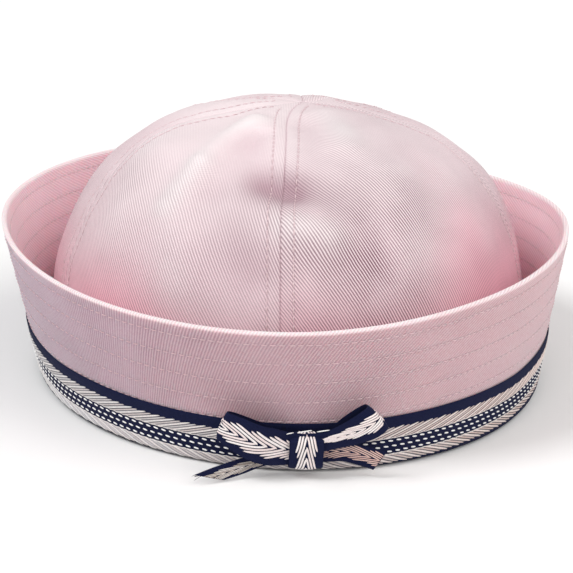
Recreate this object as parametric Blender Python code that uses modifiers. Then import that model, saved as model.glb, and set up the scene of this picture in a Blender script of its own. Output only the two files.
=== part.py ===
"""A sailor cap of cotton twill: a crown of six gores, a turned-up brim, a ribbon band and a bow.

Metres, +Z up. The front, with the bow, looks along -Y. The origin is the middle of the head
opening, in the plane that the cap rests on. An azimuth is measured from the front towards +X.
"""

import math
from collections import namedtuple

import bmesh
import bpy
from mathutils import Matrix, Vector

# Head opening, inside the crown
OPENING_WIDTH = 0.177
OPENING_LENGTH = 0.188

# Crown: its top lies right of and behind the middle, and its folds fade over these last shares of
# the way to its foot and its top
CROWN_HEIGHT = 0.0996
CROWN_WALL = 0.0016
CROWN_FULLNESS = 2.68
SEAM_DEPTH = 0.0016
APEX_GAP = 0.0012
APEX_RIGHT = 0.0016
APEX_BACK = 0.0240
APEX_EASE = 1.5
FOOT_FADE = 0.23
TOP_FADE = 0.17

# Brim: an inner leg under the crown, a fold that the cap rests on, and a flared outer wall
BRIM_WALL = 0.0020
BRIM_HEIGHT = 0.0572
BRIM_FLARE = 0.0086
LEG_HEIGHT = 0.0090
FOLD_WIDTH = 0.0071
FOLD_RADIUS = 0.0036
LEG_RADIUS = 0.0022

# Ribbon band round the foot of the brim
BAND_WIDTH = 0.0176
BAND_TUCK = 0.0022
BAND_THICKNESS = 0.0009

# Bow
BOW_AZIMUTH = math.radians(3.9)
BOW_LEVEL = 0.0105
BOW_RIBBON_WIDTH = 0.0135
BOW_THICKNESS = 0.0009
LOOP_REACH = 0.0300
LOOP_DEPTH = 0.0080
TAIL_REACH = 0.0380
TAIL_RIGHT_REACH = 0.0290
TAIL_LIFT = 0.0115
KNOT_WIDTH = 0.0118
KNOT_HEIGHT = 0.0170
KNOT_DEPTH = 0.0062

CLEARANCE = 0.0003
SHARP_ANGLE = math.radians(50)

# Faces round and across each piece
GORE_COLUMNS = 8
GORE_ROWS = 15
BRIM_COLUMNS = 60
LEG_ROWS = 1
ARC_ROWS = 3
WALL_ROWS = 6
TUCK_ROWS = 2
BAND_ROWS = 3
STRIP_COLUMNS = 3

# The rim leans out and rises by these shares of BRIM_FLARE and BRIM_HEIGHT, and the band sits
# higher by this share of its own width
Rim = namedtuple("Rim", "azimuth flare height band")
RIM = [
    Rim(0, 0.78, 0.925, -0.02),
    Rim(45, 0.71, 1.02, 0.11),
    Rim(90, 0.90, 1.065, 0.12),
    Rim(135, 0.91, 0.98, 0.06),
    Rim(180, 0.73, 0.95, 0.02),
    Rim(225, 1.09, 1.03, 0.04),
    Rim(270, 1.65, 1.02, 0.05),
    Rim(315, 1.25, 0.945, 0.05),
]

# The azimuths of the seams between the gores, in equal steps from the crown's foot to its top
Seam = namedtuple("Seam", "foot low middle high top")
SEAMS = [
    Seam(-1.0, -2.0, -3.8, -7.4, -22),
    Seam(79, 82, 82, 91, 94),
    Seam(128, 128, 130, 134, 138),
    Seam(180, 180, 180, 180, 180),
    Seam(234, 234, 233, 230, 226),
    Seam(292, 289, 285.5, 281, 296),
]

# Dents (negative depth) and swells in the crown: rise is 0 at its foot and 1 at its top, depth is
# a share of the crown's height, and the spreads are how far each one reaches
Dent = namedtuple("Dent", "azimuth rise depth spread_azimuth spread_rise")
DENTS = [
    Dent(-3, 0.59, -0.018, 14, 0.06),
    Dent(2, 0.46, 0.012, 22, 0.08),
    Dent(-56, 0.76, -0.020, 16, 0.08),
    Dent(-30, 0.64, 0.010, 18, 0.08),
    Dent(24, 0.83, -0.014, 22, 0.07),
    Dent(88, 0.50, 0.010, 26, 0.14),
    Dent(90, 0.18, -0.010, 34, 0.12),
    Dent(268, 0.20, 0.012, 32, 0.12),
    Dent(150, 0.42, -0.018, 22, 0.12),
    Dent(215, 0.55, -0.015, 18, 0.14),
]

# A strip of the bow runs through these sections, each from its low edge to its top edge. Along is
# a share of the strip's reach from the knot, out a share of its depth from the band's face, and
# up a share of the bow ribbon's width above the knot's middle.
Section = namedtuple("Section", "low_along low_out low_up top_along top_out top_up")
LOOP_LEFT = [
    Section(0.01, 0.50, -0.33, 0.01, 0.50, 0.30),
    Section(0.22, 0.54, -0.38, 0.20, 0.54, 0.38),
    Section(0.44, 0.80, -0.30, 0.36, 0.78, 0.68),
    Section(0.66, 0.96, -0.10, 0.53, 0.92, 0.90),
    Section(0.88, 0.88, 0.20, 0.76, 0.84, 1.10),
    Section(1.02, 0.60, 0.39, 0.91, 0.56, 1.15),
    Section(0.94, 0.32, 0.28, 0.82, 0.30, 1.05),
    Section(0.54, 0.29, -0.12, 0.44, 0.28, 0.68),
    Section(0.21, 0.28, -0.34, 0.19, 0.28, 0.34),
    Section(0.01, 0.28, -0.31, 0.01, 0.28, 0.27),
]
LOOP_RIGHT = [
    Section(0.01, 0.50, -0.12, 0.01, 0.50, 0.30),
    Section(0.22, 0.54, 0.04, 0.20, 0.54, 0.42),
    Section(0.50, 0.84, 0.32, 0.38, 0.82, 0.94),
    Section(0.76, 0.96, 0.58, 0.55, 0.92, 1.26),
    Section(0.91, 0.66, 0.76, 0.66, 0.62, 1.39),
    Section(0.85, 0.34, 0.70, 0.61, 0.31, 1.32),
    Section(0.48, 0.29, 0.30, 0.37, 0.29, 0.88),
    Section(0.21, 0.28, 0.04, 0.19, 0.28, 0.38),
    Section(0.01, 0.28, -0.10, 0.01, 0.28, 0.27),
]
TAIL_LEFT = [
    Section(0.01, 0.07, -0.44, 0.01, 0.07, 0.10),
    Section(0.17, 0.07, -0.47, 0.17, 0.07, 0.06),
    Section(0.36, 0.14, -0.54, 0.36, 0.07, -0.16),
    Section(0.54, 0.42, -0.62, 0.58, 0.30, -0.24),
    Section(0.64, 0.56, -0.66, 0.82, 0.66, -0.32),
    Section(0.73, 0.68, -0.69, 1.00, 0.96, -0.40),
]
TAIL_RIGHT = [
    Section(0.01, 0.07, -0.44, 0.01, 0.07, 0.10),
    Section(0.23, 0.08, -0.44, 0.23, 0.08, 0.14),
    Section(0.45, 0.22, -0.34, 0.47, 0.10, 0.16),
    Section(0.64, 0.28, -0.42, 0.71, 0.16, 0.08),
    Section(0.81, 0.30, -0.54, 0.95, 0.24, -0.06),
]

# The knot's strip in profile, over the bow from the band's top edge to its foot. Out is a share
# of KNOT_DEPTH and up is a share of half of KNOT_HEIGHT.
Bend = namedtuple("Bend", "out up")
KNOT = [
    Bend(0.13, 0.84),
    Bend(0.45, 0.86),
    Bend(0.82, 0.76),
    Bend(0.98, 0.45),
    Bend(1.00, 0.00),
    Bend(0.98, -0.55),
    Bend(0.80, -0.84),
    Bend(0.45, -0.94),
    Bend(0.13, -0.94),
]


def remove_scene_objects():
    for item in list(bpy.data.objects):
        bpy.data.objects.remove(item, do_unlink=True)


def make_collection(name):
    collection = bpy.data.collections.new(name)
    bpy.context.scene.collection.children.link(collection)
    return collection


def make_material(name, colour, roughness):
    material = bpy.data.materials.new(name)
    material.use_nodes = True
    surface = material.node_tree.nodes["Principled BSDF"]
    surface.inputs["Base Color"].default_value = (*colour, 1.0)
    surface.inputs["Roughness"].default_value = roughness
    surface.inputs["Metallic"].default_value = 0.0
    return material


def between(values, place):
    """A smooth curve through a list of values, read at a place from 0 to len(values) - 1."""
    last = len(values) - 1
    here = min(int(place), last - 1)
    share = place - here
    before, start, end, after = (values[min(max(here + k, 0), last)] for k in (-1, 0, 1, 2))
    bend = 2 * before - 5 * start + 4 * end - after
    twist = 3 * (start - end) + after - before
    return start + 0.5 * share * (end - before + share * (bend + share * twist))


def round_rim(azimuth, column):
    """A value of the rim's table, smooth all the way round."""
    step = 2 * math.pi / len(RIM)
    values = [getattr(row, column) for row in RIM]
    looped = values[-1:] + values + values[:2]
    return between(looped, 1 + (azimuth % (2 * math.pi)) / step)


def oval(azimuth, outside):
    """How far from the middle the head opening's edge is, grown by a distance outside it."""
    half_width = OPENING_WIDTH / 2 + outside
    half_length = OPENING_LENGTH / 2 + outside
    return 1 / math.hypot(math.sin(azimuth) / half_width, math.cos(azimuth) / half_length)


def around(azimuth, radius, height):
    return Vector((radius * math.sin(azimuth), -radius * math.cos(azimuth), height))


def angle_gap(a, b):
    return (a - b + math.pi) % (2 * math.pi) - math.pi


def dent_at(azimuth, rise):
    """The sum of the dents and swells there, as a share of the crown's height."""
    total = 0.0
    for dent in DENTS:
        across = angle_gap(azimuth, math.radians(dent.azimuth)) / math.radians(dent.spread_azimuth)
        along = (rise - dent.rise) / dent.spread_rise
        total += dent.depth * math.exp(-across * across - along * along)
    return total


def crown_point(azimuth, rise, swell):
    """The crown's outer face: a full dome whose gores swell a little between their seams."""
    base = oval(azimuth, CROWN_WALL)
    foot = math.atan2(LEG_HEIGHT + CLEARANCE, base)
    top = math.atan2(CROWN_HEIGHT, APEX_GAP)
    climb = foot + (top - foot) * rise
    across = math.cos(climb) / base
    up = math.sin(climb) / CROWN_HEIGHT
    reach = (across**CROWN_FULLNESS + up**CROWN_FULLNESS) ** (-1 / CROWN_FULLNESS)
    flat = reach * math.cos(climb)
    spot = around(azimuth, flat, 0)
    spot += (1 - flat / base) ** APEX_EASE * Vector((APEX_RIGHT, APEX_BACK, 0))
    share = spot.length / oval(math.atan2(spot.x, -spot.y), CROWN_WALL)
    spot.z = CROWN_HEIGHT * (1 - share**CROWN_FULLNESS) ** (1 / CROWN_FULLNESS)
    settled = math.sin(math.pi / 2 * min(rise / FOOT_FADE, 1))
    puff = SEAM_DEPTH * swell * min((1 - rise) / TOP_FADE, 1)
    return spot + spot.normalized() * settled * (puff + CROWN_HEIGHT * dent_at(azimuth, rise))


def seam_azimuth(seam, rise):
    """Where a seam is, counted on past the last one by whole turns."""
    turns, row = divmod(seam, len(SEAMS))
    steps = len(Seam._fields) - 1
    return math.radians(between(SEAMS[row], rise * steps) + 360 * turns)


def brim_profile(azimuth):
    """The brim's outer side as (radius, height), from the leg's top, under the fold, to the rim."""
    inner = oval(azimuth, 0.0)
    outer = oval(azimuth, FOLD_WIDTH)
    leg = [
        (inner, LEG_HEIGHT + (LEG_RADIUS - LEG_HEIGHT) * row / LEG_ROWS) for row in range(LEG_ROWS)
    ]
    turns = [math.pi / 2 * row / ARC_ROWS for row in range(ARC_ROWS + 1)]
    under = [
        (inner + LEG_RADIUS * (1 - math.cos(a)), LEG_RADIUS * (1 - math.sin(a))) for a in turns
    ]
    out = [
        (outer - FOLD_RADIUS * (1 - math.sin(a)), FOLD_RADIUS * (1 - math.cos(a))) for a in turns
    ]
    climbs = [rim_climb(azimuth) * row / WALL_ROWS for row in range(1, WALL_ROWS + 1)]
    wall = [brim_face(azimuth, climb, 0.0) for climb in climbs]
    return leg + under + out + wall


def rim_climb(azimuth):
    return BRIM_HEIGHT * round_rim(azimuth, "height") - FOLD_RADIUS


def brim_face(azimuth, climb, outside):
    """Radius and height on the brim's outer side. The climb starts where the fold's arc ends."""
    outer = oval(azimuth, FOLD_WIDTH)
    if climb < 0:
        turn = climb / FOLD_RADIUS
        arm = FOLD_RADIUS + outside
        return outer - FOLD_RADIUS + arm * math.cos(turn), FOLD_RADIUS + arm * math.sin(turn)
    lean = BRIM_FLARE * round_rim(azimuth, "flare") * climb / rim_climb(azimuth)
    return outer + lean + outside, FOLD_RADIUS + climb


def sheet(name, columns, rows, place, collection, closed=False):
    """A grid of faces, u by v from 0 to 1, moved to where place(u, v) says."""
    grid = bmesh.new()
    bmesh.ops.create_grid(grid, x_segments=columns, y_segments=rows, size=0.5)
    for vertex in grid.verts:
        vertex.co = place(vertex.co.x + 0.5, vertex.co.y + 0.5)
    if closed:
        bmesh.ops.remove_doubles(grid, verts=grid.verts, dist=CLEARANCE / 10)
    mesh = bpy.data.meshes.new(name)
    grid.to_mesh(mesh)
    grid.free()
    mesh.shade_smooth()
    piece = bpy.data.objects.new(name, mesh)
    collection.objects.link(piece)
    return piece


def thicken(piece, thickness, side, material):
    """A side of -1 adds the cloth behind the faces, 1 in front of them and 0 on both sides."""
    wall = piece.modifiers.new("Cloth", "SOLIDIFY")
    wall.thickness = thickness
    wall.offset = side
    wall.use_even_offset = True
    piece.data.set_sharp_from_angle(angle=SHARP_ANGLE)
    piece.data.materials.append(material)


def build_crown(collection, twill):
    """One gore between each two seams, with a narrow gap along the seam."""
    labels = ["front_right", "right", "back_right", "back_left", "left", "front_left"]
    for gore, label in enumerate(labels):

        def place(u, v):
            start = seam_azimuth(gore, v)
            end = seam_azimuth(gore + 1, v)
            middle = crown_point((start + end) / 2, v, 0)
            gap = CLEARANCE / math.hypot(middle.x, middle.y)
            azimuth = start + gap / 2 + (end - start - gap) * u
            return crown_point(azimuth, v, math.sin(math.pi * u))

        panel = sheet(f"crown_panel_{label}", GORE_COLUMNS, GORE_ROWS, place, collection)
        thicken(panel, CROWN_WALL, -1, twill)


def build_brim(collection, twill):
    rows = LEG_ROWS + 2 * ARC_ROWS + 1 + WALL_ROWS

    def place(u, v):
        azimuth = 2 * math.pi * u
        return around(azimuth, *brim_profile(azimuth)[round(v * rows)])

    brim = sheet("brim", BRIM_COLUMNS, rows, place, collection, closed=True)
    thicken(brim, BRIM_WALL, -1, twill)


def build_band(collection, ribbon):
    tucked = [-BAND_TUCK * (1 - row / TUCK_ROWS) for row in range(TUCK_ROWS)]
    flat = [(BAND_WIDTH - BAND_TUCK) * row / BAND_ROWS for row in range(BAND_ROWS + 1)]
    climbs = tucked + flat
    rows = len(climbs) - 1

    def place(u, v):
        azimuth = 2 * math.pi * u
        climb = climbs[round(v * rows)] + BAND_WIDTH * round_rim(azimuth, "band")
        return around(azimuth, *brim_face(azimuth, climb, CLEARANCE))

    band = sheet("ribbon_band", BRIM_COLUMNS, rows, place, collection, closed=True)
    thicken(band, BAND_THICKNESS, 1, ribbon)


def bow_place(collection):
    """An empty on the band's face: +X runs along the band, -Y stands off it and +Z climbs it."""
    guide = bpy.data.objects.new("bow_place", None)
    guide.hide_render = True
    collection.objects.link(guide)
    stand_off = CLEARANCE + BAND_THICKNESS
    step = BAND_WIDTH / 4
    climb = BOW_LEVEL - FOLD_RADIUS
    here = around(BOW_AZIMUTH, *brim_face(BOW_AZIMUTH, climb, stand_off))
    above = around(BOW_AZIMUTH, *brim_face(BOW_AZIMUTH, climb + step, stand_off))
    below = around(BOW_AZIMUTH, *brim_face(BOW_AZIMUTH, climb - step, stand_off))
    up = (above - below).normalized()
    along = Vector((math.cos(BOW_AZIMUTH), math.sin(BOW_AZIMUTH), 0))
    back = up.cross(along)
    turn = Matrix((along, back, up)).transposed().to_4x4()
    guide.matrix_world = Matrix.Translation(here) @ turn
    return guide


def edge(sections, place, side):
    """A point of a strip's low or top edge: its along, out and up shares."""
    return [
        between([getattr(row, f"{side}_{axis}") for row in sections], place)
        for axis in ("along", "out", "up")
    ]


def build_strip(name, sections, towards, reach, depth, guide, collection, ribbon):
    """A loop or tail of the bow, running towards -1 (left) or 1 (right) from the knot."""
    rows = 2 * (len(sections) - 1)

    def place(u, v):
        low = edge(sections, v * (len(sections) - 1), "low")
        top = edge(sections, v * (len(sections) - 1), "top")
        along, out, up = (a + (b - a) * u for a, b in zip(low, top))
        return Vector((towards * along * reach, -out * depth, up * BOW_RIBBON_WIDTH))

    strip = sheet(name, STRIP_COLUMNS, rows, place, collection)
    if towards > 0:
        strip.data.flip_normals()
    thicken(strip, BOW_THICKNESS, 0, ribbon)
    strip.parent = guide


def build_knot(guide, collection, ribbon):
    rows = 2 * (len(KNOT) - 1)

    def place(u, v):
        at = v * (len(KNOT) - 1)
        out = KNOT_DEPTH * between([bend.out for bend in KNOT], at)
        up = KNOT_HEIGHT / 2 * between([bend.up for bend in KNOT], at)
        return Vector(((0.5 - u) * KNOT_WIDTH, -out, up))

    knot = sheet("bow_knot", STRIP_COLUMNS, rows, place, collection)
    thicken(knot, BOW_THICKNESS, 0, ribbon)
    knot.parent = guide


def build_cap():
    remove_scene_objects()
    collection = make_collection("sailor_cap")
    crown_twill = make_material("crown_twill", (0.84, 0.62, 0.67), 0.75)
    brim_twill = make_material("brim_twill", (0.74, 0.50, 0.55), 0.75)
    band_ribbon = make_material("band_ribbon", (0.08, 0.09, 0.22), 0.65)
    bow_ribbon = make_material("bow_ribbon", (0.62, 0.56, 0.58), 0.65)
    build_crown(collection, crown_twill)
    build_brim(collection, brim_twill)
    build_band(collection, band_ribbon)
    guide = bow_place(collection)
    loops = [("bow_loop_left", LOOP_LEFT, -1), ("bow_loop_right", LOOP_RIGHT, 1)]
    for name, sections, towards in loops:
        build_strip(
            name, sections, towards, LOOP_REACH, LOOP_DEPTH, guide, collection, bow_ribbon
        )
    tails = [
        ("bow_tail_left", TAIL_LEFT, -1, TAIL_REACH),
        ("bow_tail_right", TAIL_RIGHT, 1, TAIL_RIGHT_REACH),
    ]
    for name, sections, towards, reach in tails:
        build_strip(name, sections, towards, reach, TAIL_LIFT, guide, collection, bow_ribbon)
    build_knot(guide, collection, bow_ribbon)


build_cap()
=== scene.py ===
"""Looks of a sailor cap: cotton twill gores and cuff, a woven ribbon band and a small bow.

Metres, +Z up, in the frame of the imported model. An azimuth is measured from the front (-Y)
towards +X. Arrays of points have the coordinates in their last axis.
"""

import math

import bmesh
import bpy
import numpy as np
from mathutils import Euler, Matrix, Vector


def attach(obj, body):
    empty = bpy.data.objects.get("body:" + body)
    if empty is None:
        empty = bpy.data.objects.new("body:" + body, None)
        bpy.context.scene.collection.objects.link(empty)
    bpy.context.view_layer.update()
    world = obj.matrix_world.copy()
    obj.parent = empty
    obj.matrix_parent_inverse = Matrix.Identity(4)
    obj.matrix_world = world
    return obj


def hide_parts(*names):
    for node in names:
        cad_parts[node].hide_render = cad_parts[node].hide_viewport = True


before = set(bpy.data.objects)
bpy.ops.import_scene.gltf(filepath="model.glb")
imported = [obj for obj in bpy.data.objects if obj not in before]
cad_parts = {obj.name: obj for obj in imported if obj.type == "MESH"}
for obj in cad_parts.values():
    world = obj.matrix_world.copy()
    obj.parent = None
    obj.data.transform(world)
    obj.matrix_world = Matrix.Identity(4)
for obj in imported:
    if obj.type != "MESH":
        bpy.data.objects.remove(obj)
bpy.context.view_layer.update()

MM = 0.001
BODY = "root"

# The same sizes as the solids. The stand-off is the band's thickness and a clearance.
OPENING_WIDTH = 0.177
OPENING_LENGTH = 0.188
CROWN_HEIGHT = 0.0996
CROWN_WALL = 0.0016
CROWN_FULLNESS = 2.68
SEAM_DEPTH = 0.0016
APEX_RIGHT = 0.0016
APEX_BACK = 0.0240
APEX_EASE = 1.5
FOOT_FADE = 0.23
TOP_FADE = 0.17
BRIM_WALL = 0.0020
BRIM_HEIGHT = 0.0572
BRIM_FLARE = 0.0086
LEG_HEIGHT = 0.0090
FOLD_WIDTH = 0.0071
FOLD_RADIUS = 0.0036
LEG_RADIUS = 0.0022
BAND_WIDTH = 0.0176
BAND_TUCK = 0.0022
BOW_AZIMUTH = math.radians(3.9)
BOW_LEVEL = 0.0105
BOW_RIBBON_WIDTH = 0.0135
LOOP_REACH = 0.0300
LOOP_DEPTH = 0.0080
TAIL_REACH = 0.0380
TAIL_RIGHT_REACH = 0.0290
TAIL_LIFT = 0.0115
KNOT_WIDTH = 0.0118
KNOT_HEIGHT = 0.0170
KNOT_DEPTH = 0.0062
STAND_OFF = 0.0012
CLEARANCE = 0.0003

# Cloth and sewing. The gores close up at the apex more than the solids do.
APEX_GAP = 0.0003
CLOTH = 0.0011
THREAD = 0.00019
STITCH_PITCH = 0.0030
STITCH_LENGTH = 0.0021
STITCH_ARCH = 0.00010
STITCH_TAPER = (0.55, 1, 1, 1, 0.55)
SEAM_ALLOWANCE = 0.0046
SEAM_VALLEY = 0.00030
SEAM_RISE = 0.00020
SEAM_GROOVE = 0.00030
GATHER_HEIGHT = 0.00022
GATHER_SIZE = 0.0066
WRINKLE_HEIGHT = 0.00020
WRINKLE_SIZE = 0.026
TOP_FLATTENING = 0.0016
LUMP_PLACE = (0.0110, 0.0290)
LUMP_HEIGHT = 0.0014
LUMP_SPREAD = 0.0030
FOLD_REACH = 0.09

# Points of a gore: columns close together beside its seams, at these distances, and even between
SEAM_COLUMNS = 0.001 * np.array([
    0, 0.15, 0.32, 0.55, 0.9, 1.6, 2.6, 3.5, 4.0, 4.3, 4.6, 4.9, 5.2, 5.7, 6.6, 7.8, 9.4, 11.4,
])
MIDDLE_COLUMNS = 40
GORE_ROWS = 156

# Twill: the ridges' pitch, and their lean on each gore and on the cuff, whose cloth is cut curved
CROWN_TWILL_MM = 1.0
BRIM_TWILL_MM = 1.08
CROWN_LEANS = np.radians([18, 24, 28, 28, 28, 35])
BRIM_LEAN = math.radians(30)
BRIM_TURN = 0.72

# Rows of stitches round the cuff, from its rim down
BRIM_RADIUS = 0.106
BRIM_AZIMUTHS = np.linspace(0, 2 * math.pi, 600, endpoint=False)
ROW_FIRST = 0.0043
ROW_STEP = 0.0074
ROWS_OF_STITCHES = 5
RIM_ROLL = 0.00105
ROW_DIP = 0.00014
PUCKER_HEIGHT = 0.00007
PUCKER_SIZE = 0.0055
SWAY_HEIGHT = 0.00028
SWAY_SIZE = 0.034

# Woven ribbons, from the middle of the ribbon outwards. A cut is the slant of the yarns' ends.
RIBBON = 0.0005
YARN_CUT = 0.85
BOW_CUT = 1.3
BAND_RADIUS = 0.0985
BAND_LENGTH = 2 * math.pi * BAND_RADIUS
BAND_DROP = 0.0028
BAND_CORE = 0.0031
BAND_UPPER = 0.0076
BAND_LOWER = 0.0066
BAND_SIDE_LIFT = 0.0020
BAND_FOOT = -0.0042
BAND_ANGLE = math.radians(20)
BAND_TOOTH = 0.0056
BOW_BORDER = 0.0044
BOW_ANGLE = math.radians(18.5)
BOW_PITCH = 0.0036
BOW_YARN = 0.00041
KNOT_BORDER = 0.0037
KNOT_ANGLE = math.radians(15)
KNOT_PITCH = 0.0041
KNOT_YARN = 0.00036
YARN_HEIGHT = 0.00024
DASH_PITCH = 0.0030
DASH_LENGTH = 0.0017
DASH_ROW = 0.0021
DASH_WIDTH = 0.00033
DASH_HEIGHT = 0.00028
SCALLOP_DEPTH = 0.00016
SCALLOP_THREAD = 0.00018

# Starts of the random draws, to which some add the number of their gore
SEAM_SEED = 11
WRINKLE_SEED = 40
TONE_SEED = 60
FOLD_SEED = 90
OUTER_WALL_SEED = 71
INNER_WALL_SEED = 83
BAND_SEED = 5
FRAY_SEED = 8

# azimuth, lean, height and the band's shift, as in the solids
RIM = np.array([
    (0, 0.78, 0.925, -0.02),
    (45, 0.71, 1.02, 0.11),
    (90, 0.90, 1.065, 0.12),
    (135, 0.91, 0.98, 0.06),
    (180, 0.73, 0.95, 0.02),
    (225, 1.09, 1.03, 0.04),
    (270, 1.65, 1.02, 0.05),
    (315, 1.25, 0.945, 0.05),
])
FLARE, HEIGHT, SHIFT = 1, 2, 3

# azimuths of each seam in equal steps from the crown's foot to its top, the first again at the end
SEAMS = np.array([
    (-1.0, -2.0, -3.8, -7.4, -22),
    (79, 82, 82, 91, 94),
    (128, 128, 130, 134, 138),
    (180, 180, 180, 180, 180),
    (234, 234, 233, 230, 226),
    (292, 289, 285.5, 281, 296),
])
SEAMS = np.vstack([SEAMS, SEAMS[0] + 360])
GORES = ["front_right", "right", "back_right", "back_left", "left", "front_left"]

# azimuth, rise, depth, spread in azimuth and spread in rise of each dent or swell
DENTS = np.array([
    (-3, 0.59, -0.018, 14, 0.06),
    (2, 0.46, 0.012, 22, 0.08),
    (-56, 0.76, -0.020, 16, 0.08),
    (-30, 0.64, 0.010, 18, 0.08),
    (24, 0.83, -0.014, 22, 0.07),
    (88, 0.50, 0.010, 26, 0.14),
    (90, 0.18, -0.010, 34, 0.12),
    (268, 0.20, 0.012, 32, 0.12),
    (150, 0.42, -0.018, 22, 0.12),
    (215, 0.55, -0.015, 18, 0.14),
])

# low edge (along, out, up) and top edge (along, out, up) of the bow's strips
LOOP_LEFT = np.array([
    (0.01, 0.50, -0.33, 0.01, 0.50, 0.52),
    (0.22, 0.54, -0.38, 0.20, 0.54, 0.58),
    (0.44, 0.80, -0.30, 0.36, 0.78, 0.76),
    (0.66, 0.96, -0.10, 0.53, 0.92, 0.90),
    (0.88, 0.88, 0.20, 0.76, 0.84, 1.10),
    (1.02, 0.60, 0.39, 0.91, 0.56, 1.15),
    (0.94, 0.32, 0.28, 0.82, 0.30, 1.05),
    (0.54, 0.29, -0.12, 0.44, 0.28, 0.68),
    (0.21, 0.28, -0.34, 0.19, 0.28, 0.34),
    (0.01, 0.28, -0.31, 0.01, 0.28, 0.27),
])
LOOP_RIGHT = np.array([
    (0.01, 0.50, -0.12, 0.01, 0.50, 0.54),
    (0.22, 0.54, 0.04, 0.20, 0.54, 0.60),
    (0.50, 0.84, 0.32, 0.38, 0.82, 0.94),
    (0.76, 0.96, 0.58, 0.55, 0.92, 1.26),
    (0.91, 0.66, 0.76, 0.66, 0.62, 1.39),
    (0.85, 0.34, 0.70, 0.61, 0.31, 1.32),
    (0.48, 0.29, 0.30, 0.37, 0.29, 0.88),
    (0.21, 0.28, 0.04, 0.19, 0.28, 0.38),
    (0.01, 0.28, -0.10, 0.01, 0.28, 0.27),
])
TAIL_LEFT = np.array([
    (0.01, 0.07, -0.44, 0.01, 0.07, 0.10),
    (0.17, 0.07, -0.47, 0.17, 0.07, 0.06),
    (0.36, 0.14, -0.54, 0.36, 0.07, -0.16),
    (0.54, 0.42, -0.62, 0.58, 0.30, -0.24),
    (0.64, 0.56, -0.66, 0.82, 0.66, -0.32),
    (0.73, 0.68, -0.69, 1.00, 0.96, -0.40),
])
TAIL_RIGHT = np.array([
    (0.01, 0.07, -0.44, 0.01, 0.07, 0.10),
    (0.23, 0.08, -0.44, 0.23, 0.08, 0.14),
    (0.45, 0.22, -0.34, 0.47, 0.10, 0.16),
    (0.64, 0.28, -0.42, 0.71, 0.16, 0.08),
    (0.81, 0.30, -0.54, 0.95, 0.24, -0.06),
])
# out and up of the knot's profile, drawn in for the thickness of its yarns
KNOT = np.array([
    (0.13, 0.65),
    (0.45, 0.68),
    (0.80, 0.62),
    (0.95, 0.42),
    (0.97, 0.00),
    (0.95, -0.45),
    (0.78, -0.68),
    (0.45, -0.76),
    (0.13, -0.76),
])

# azimuth and rise of each end, height and half width in millimetres of the crown's soft folds
FOLDS = np.array([
    (-34, 0.80, -33, 0.60, 2.4, 5.0),
    (-33, 0.59, -37, 0.48, 2.2, 4.5),
    (-26, 0.74, -26, 0.54, -2.2, 5.0),
    (-24, 0.70, -12, 0.61, -1.8, 6.0),
    (-12, 0.59, -2, 0.585, -3.6, 8.0),
    (-1, 0.58, 9, 0.565, -2.8, 8.5),
    (1, 0.468, 8, 0.45, 3.2, 6.5),
    (29, 0.88, 24, 0.71, 1.8, 6.0),
    (4, 0.82, 8, 0.68, -1.2, 6.0),
    (-58, 0.58, -52, 0.46, 1.6, 13.0),
    (-20, 0.46, -10, 0.38, -1.6, 9.0),
    (-30, 0.42, -27, 0.32, 1.0, 8.0),
    (16, 0.64, 22, 0.38, -0.6, 7.5),
    (38, 0.60, 30, 0.42, 0.9, 7.5),
    (48, 0.66, 46, 0.44, -0.5, 7.5),
    (60, 0.62, 60, 0.40, 0.6, 7.5),
    (152, 0.74, 158, 0.48, -1.5, 9.0),
    (255, 0.57, 250, 0.62, -1.0, 9.0),
    (222, 0.79, 201, 0.82, -0.8, 9.0),
    (122, 0.70, 105, 0.58, -1.4, 10.0),
])

# place across the tooth in millimetres, half width, height, reach short of the border
BAND_YARNS = {
    "bright": [(0.0, 0.00034, 0.00032, 0.0)],
    "dark": [(0.47, 0.00012, 0.00022, 0.0004), (1.36, 0.00012, 0.00020, 0.0006)],
    "soft": [(0.92, 0.00030, 0.00026, 0.0002), (1.66, 0.00022, 0.00022, 0.0004)],
}

# share of a strip's length, middle of its herringbone in millimetres and width against the full one
WEAVE_LEFT_LOOP = np.array([
    (0.0, -0.4, 0.82),
    (0.12, 0.0, 0.95),
    (0.3, 0.1, 1.0),
    (0.5, -0.2, 1.0),
    (1.0, 0.0, 1.0),
])
WEAVE_RIGHT_LOOP = np.array([
    (0.0, 1.9, 0.30),
    (0.12, 1.2, 0.43),
    (0.3, 0.3, 0.74),
    (0.5, -0.5, 0.92),
    (0.7, -1.4, 0.92),
    (1.0, -1.4, 0.92),
])
WEAVE_LEFT_TAIL = np.array([(0.0, -0.8, 0.95), (1.0, -0.8, 0.95)])
WEAVE_RIGHT_TAIL = np.array([(0.0, 0.5, 1.25), (0.4, 0.9, 1.14), (1.0, 1.0, 1.11)])
WEAVE_KNOT = np.array([(0.0, 0.0, 1.0), (1.0, 0.0, 1.0)])

# start and end of each hand stitch over the knot, along the band and up it, in millimetres
TACKS_MM = [
    (-8.4, 7.0, -4.6, 8.0),
    (-3.4, 8.0, 1.6, 9.0),
    (3.2, 8.4, 7.6, 9.2),
]


def between(values, place):
    """A smooth curve through the rows of a table, read at places from 0 to its last row."""
    values = np.asarray(values, float)
    place = np.asarray(place, float)
    last = len(values) - 1
    here = np.clip(place.astype(int), 0, last - 1)
    share = place - here
    before, start, end, after = (values[np.clip(here + k, 0, last)] for k in (-1, 0, 1, 2))
    if values.ndim > 1:
        share = share[..., None]
    bend = 2 * before - 5 * start + 4 * end - after
    twist = 3 * (start - end) + after - before
    return start + 0.5 * share * (end - before + share * (bend + share * twist))


def round_rim(azimuth, column):
    values = RIM[:, column]
    looped = np.concatenate([values[-1:], values, values[:2]])
    step = 2 * math.pi / len(RIM)
    return between(looped, 1 + (azimuth % (2 * math.pi)) / step)


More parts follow.
